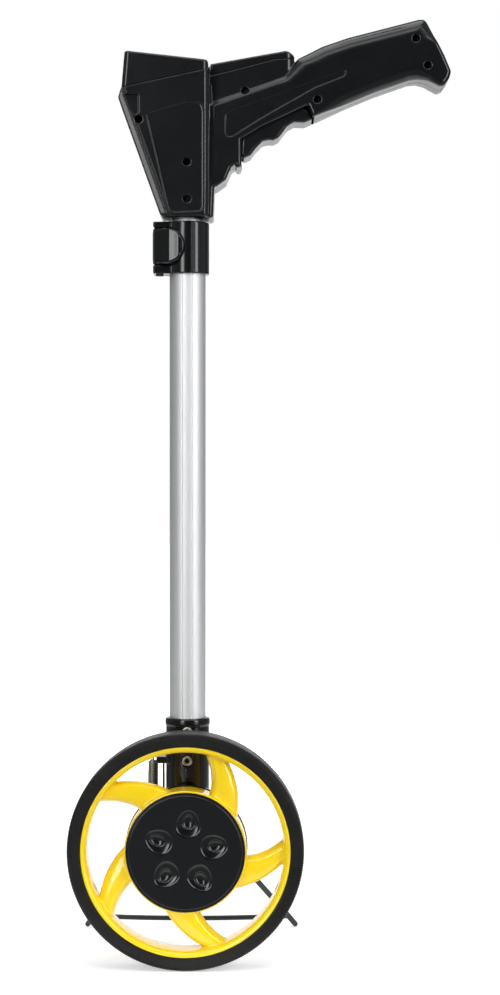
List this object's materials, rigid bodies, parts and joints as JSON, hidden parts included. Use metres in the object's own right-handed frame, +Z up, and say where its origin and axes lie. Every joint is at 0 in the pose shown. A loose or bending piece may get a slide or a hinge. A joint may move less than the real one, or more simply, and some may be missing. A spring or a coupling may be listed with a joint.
{
  "type": "measuring wheel",
  "caption": "Digital distance measuring wheel: spoked rubber-tyred wheel on a telescopic pole with a display head, trigger grip and folding wire stand.",
  "frame": {"origin": "where the tyre's middle plane touches the ground, straight under the axle, with the wheel standing on its tyre", "axes": "+Z up along the pole, +X from the pole towards the grip and its user, +Y from the wheel towards the pole and the stand"},
  "size_m": [0.2608, 0.1431, 0.6459],
  "materials": {
    "tyre_rubber": "matte black rubber, fine ribs across the tread",
    "yellow_plastic": "bright yellow moulded plastic, satin gloss",
    "black_plastic": "black moulded nylon, satin gloss",
    "head_plastic": "black fine-textured plastic with a soft sheen",
    "aluminium": "silver anodised, drawn",
    "steel": "zinc-plated",
    "spring_steel": "oiled spring steel",
    "coated_wire": "black dip-coated",
    "ferrite": "sintered ferrite",
    "circuit_board": "green solder mask",
    "nylon": "black nylon",
    "cable_jacket": "black cable jacket",
    "window": "clear polycarbonate",
    "lcd": "grey-green liquid crystal panel",
    "red_key": "red silicone key",
    "grey_key": "grey silicone key",
    "cell_sleeve": "plain blue sleeve"
  },
  "bodies": {
    "frame": {"axle": "steel", "axle_nut": "steel", "axle_sleeve": "steel", "bearing_spacer": "steel", "bearing_inner_rings": "steel", "wheel_bracket": "black_plastic", "socket_screws": "steel", "sensor_disc": "black_plastic", "sensor_board": "circuit_board", "cable_gland": "black_plastic", "sensor_lead": "cable_jacket", "outer_tube": "aluminium", "tube_bush": "nylon", "clamp_collar": "black_plastic", "clamp_pin": "steel"},
    "wheel": {"tyre": "tyre_rubber", "rim": "yellow_plastic", "hub_cover": "black_plastic", "bearing_outer_rings": "steel", "bearing_balls": "steel", "magnet_ring": "ferrite"},
    "lever": {"clamp_lever": "black_plastic"},
    "stand": {"stand_hub": "coated_wire", "stand_shaft": "steel", "shaft_clip": "steel", "stand_crank": "steel", "stand_leg_left": "coated_wire", "stand_leg_right": "coated_wire", "stand_crossbar": "coated_wire"},
    "spring": {"stand_spring": "spring_steel"},
    "head": {"inner_tube": "aluminium", "guide_bush": "nylon", "tube_screws": "steel", "head_shell_front": "head_plastic", "head_shell_back": "head_plastic", "shell_screws": "steel", "display_cap": "head_plastic", "display_window": "window", "display_panel": "lcd", "display_board": "circuit_board", "button_switches": "nylon", "battery_tray": "nylon", "battery_contacts": "steel", "battery_cells": "cell_sleeve", "trigger_pin": "steel", "trigger_spring": "steel", "trigger_switch": "nylon"},
    "trigger": {"trigger": "head_plastic"},
    "reset_key": {"reset_button": "red_key"},
    "mode_key": {"mode_button": "grey_key"},
    "power_key": {"power_button": "grey_key"},
    "battery_lid": {"battery_cover": "head_plastic"}
  },
  "joints": [
    {"name": "wheel_spin", "type": "hinge", "parent": "frame", "child": "wheel", "pos_m": [0, 0, 0.07958], "axis": [0, 1, 0], "continuous": true},
    {"name": "telescope", "type": "slide", "parent": "frame", "child": "head", "axis": [0, 0, 1], "range_m": [0, 0.25]},
    {"name": "clamp_flip", "type": "hinge", "parent": "frame", "child": "lever", "pos_m": [-0.019, 0.0325, 0.4895], "axis": [0, 0, -1], "range_deg": [0, 110]},
    {"name": "stand_fold", "type": "hinge", "parent": "frame", "child": "stand", "pos_m": [0, 0.0585, 0.09998], "axis": [1, 0, 0], "range_deg": [0, 138]},
    {"name": "spring_swing", "type": "hinge", "parent": "frame", "child": "spring", "pos_m": [0, 0.0585, 0.13578], "axis": [1, 0, 0], "range_deg": [0, 31.3], "deforming": ["stand_spring"]},
    {"name": "trigger_pull", "type": "hinge", "parent": "head", "child": "trigger", "pos_m": [0.0416, 0.0385, 0.5706], "axis": [0, -1, 0], "range_deg": [0, 5.5], "stiffness_Nm_per_rad": 0.5, "springref_deg": -8.59, "deforming": ["trigger_spring"]},
    {"name": "reset_press", "type": "slide", "parent": "head", "child": "reset_key", "axis": [-0.1096, 0, -0.994], "range_m": [0, 0.0012], "stiffness_N_per_m": 400, "springref_m": -0.001},
    {"name": "mode_press", "type": "slide", "parent": "head", "child": "mode_key", "axis": [-0.1096, 0, -0.994], "range_m": [0, 0.0012], "stiffness_N_per_m": 400, "springref_m": -0.001},
    {"name": "power_press", "type": "slide", "parent": "head", "child": "power_key", "axis": [-0.1096, 0, -0.994], "range_m": [0, 0.0012], "stiffness_N_per_m": 400, "springref_m": -0.001},
    {"name": "battery_lid_lift", "type": "slide", "parent": "head", "child": "battery_lid", "axis": [0, 0, 1], "range_m": [0, 0.03]}
  ],
  "couplings": [
    {"joint": "spring_swing", "follows": "stand_fold", "ratio": 0.22622}
  ]
}
